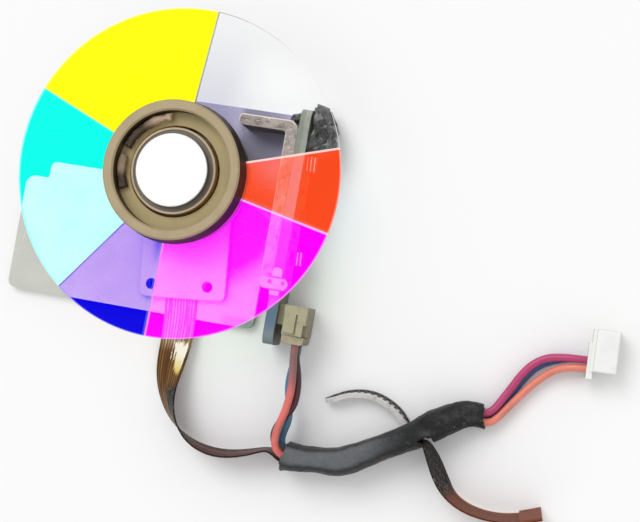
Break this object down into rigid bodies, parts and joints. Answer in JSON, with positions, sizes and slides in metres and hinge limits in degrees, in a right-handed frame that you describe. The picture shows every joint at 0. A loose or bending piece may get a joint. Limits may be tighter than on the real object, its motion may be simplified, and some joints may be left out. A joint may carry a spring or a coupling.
{
  "type": "projector color wheel",
  "caption": "Projector color wheel: coloured glass segments clamped on a small outer-rotor motor, with its bracket plate, index sensor board and wire loom.",
  "frame": {"origin": "on the wheel's axis, at the back face of the bracket plate", "axes": "+Z along the wheel's axis from the plate to the glass, +X along the plate's straight lower edge towards the sensor board, +Y from the cable side to the round side"},
  "size_m": [0.0951, 0.0675, 0.0119],
  "materials": {
    "clear_glass": "clear, polished, ground edges",
    "yellow_glass": "dichroic coating, mirror-smooth, ground edges",
    "cyan_glass": "dichroic coating, mirror-smooth, ground edges",
    "blue_glass": "dichroic coating, mirror-smooth, ground edges",
    "magenta_glass": "dichroic coating, mirror-smooth, ground edges",
    "red_glass": "dichroic coating, mirror-smooth, ground edges",
    "ring_alloy": "turned, warm satin",
    "turned_alloy": "turned, satin",
    "white_cap": "white, lightly worn",
    "putty": "dark cured putty",
    "mark_black": "matt black patch",
    "plate_steel": "zinc-plated sheet, satin",
    "base_steel": "plated, satin",
    "screw_steel": "dark plated",
    "bearing_bronze": "sintered, matt",
    "shaft_steel": "ground and polished",
    "thrust_plastic": "natural nylon",
    "lamination": "stacked laminations, coated",
    "copper_wire": "enamelled copper",
    "ferrite": "bonded magnet, matt",
    "holder_alloy": "die-cast, satin",
    "board_green": "solder mask over glass laminate",
    "chip_black": "moulded black",
    "tinned": "tinned metal",
    "seal_black": "cured black compound",
    "clip_steel": "spring steel, satin",
    "socket_cream": "cream nylon, faintly aged",
    "plug_cream": "cream nylon",
    "flex_amber": "amber polyimide over copper tracks",
    "stiffener_amber": "polyimide stiffener",
    "gold_contact": "gold-flashed copper",
    "wire_coral_skin": "coral insulation",
    "wire_crimson_skin": "crimson insulation",
    "wire_blue_skin": "blue insulation",
    "sleeve_black": "shrunk black tube, semi-gloss",
    "tie_grey": "grey nylon",
    "connector_white": "white nylon"
  },
  "bodies": {
    "bracket": {"bracket_plate": "plate_steel", "motor_base": "base_steel", "thrust_plate": "thrust_plastic", "bearing_sleeve": "bearing_bronze", "motor_screws": "screw_steel", "stator_core": "lamination", "stator_coils": "copper_wire", "sensor_holder": "holder_alloy", "photo_sensor": "chip_black", "sensor_leads": "tinned", "sensor_board": "board_green", "board_components": "chip_black", "board_clip": "clip_steel", "sensor_potting": "seal_black", "board_socket": "socket_cream", "socket_pins": "tinned", "sensor_plug": "plug_cream", "flex_cable": "flex_amber", "flex_stiffener": "stiffener_amber", "flex_contacts": "gold_contact", "wire_coral": "wire_coral_skin", "wire_crimson": "wire_crimson_skin", "wire_blue": "wire_blue_skin", "harness_sleeve": "sleeve_black", "tie_tail": "tie_grey", "end_connector": "connector_white", "end_terminals": "tinned"},
    "wheel": {"filter_clear": "clear_glass", "filter_yellow": "yellow_glass", "filter_cyan": "cyan_glass", "filter_blue": "blue_glass", "filter_magenta": "magenta_glass", "filter_red": "red_glass", "clamp_ring": "ring_alloy", "balance_putty": "putty", "rotor_cup": "turned_alloy", "hub_cap": "white_cap", "index_mark": "mark_black", "rotor_magnet": "ferrite", "shaft": "shaft_steel"}
  },
  "joints": [
    {"name": "wheel_spin", "type": "hinge", "parent": "bracket", "child": "wheel", "pos_m": [0, 0, 0.004], "axis": [0, 0, 1], "continuous": true}
  ]
}
